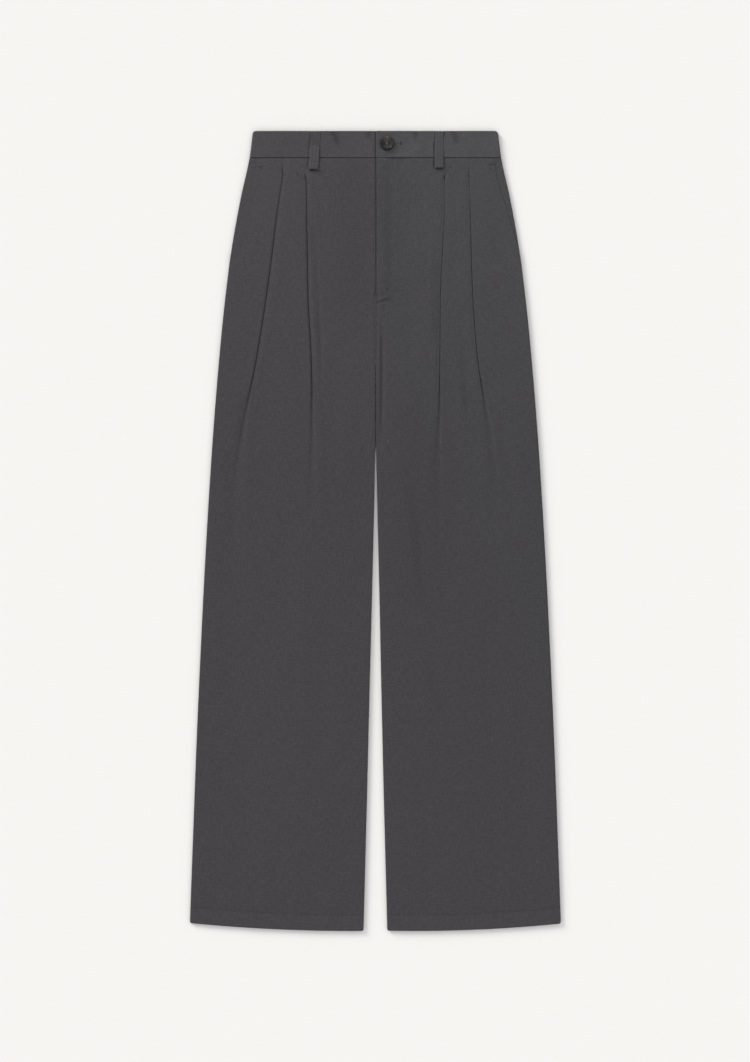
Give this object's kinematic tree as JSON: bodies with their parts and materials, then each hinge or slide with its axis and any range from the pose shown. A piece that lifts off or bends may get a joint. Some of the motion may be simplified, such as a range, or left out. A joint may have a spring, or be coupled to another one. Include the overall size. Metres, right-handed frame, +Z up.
{
  "type": "pleated chino trousers",
  "caption": "Wide-leg pleated trousers lying flat, front up: waistband with belt loops and button, lapped fly, slanted side pockets and turned-up hems.",
  "frame": {"origin": "centre of the underside: halfway across the garment, halfway between waist and hems, on the surface it lies on", "axes": "+Y towards the waist, +Z up from the surface and out of the garment's front, +X towards the wearer's left leg"},
  "size_m": [0.501, 1.08, 0.0103],
  "materials": {
    "twill": "matte charcoal cotton twill",
    "horn": "dark brown horn-like button, satin",
    "zip_tape": "dark woven zip tape with closed coil"
  },
  "bodies": {
    "root": {"front_right": "twill", "front_left": "twill", "back_right": "twill", "back_left": "twill", "pocket_facing_right": "twill", "pocket_facing_left": "twill", "waistband_front_right": "twill", "waistband_front_left": "twill", "waistband_back": "twill", "belt_loop_front_right": "twill", "belt_loop_front_left": "twill", "belt_loop_back_right": "twill", "belt_loop_back_centre": "twill", "belt_loop_back_left": "twill", "fly_zip": "zip_tape", "button": "horn"}
  },
  "joints": []
}
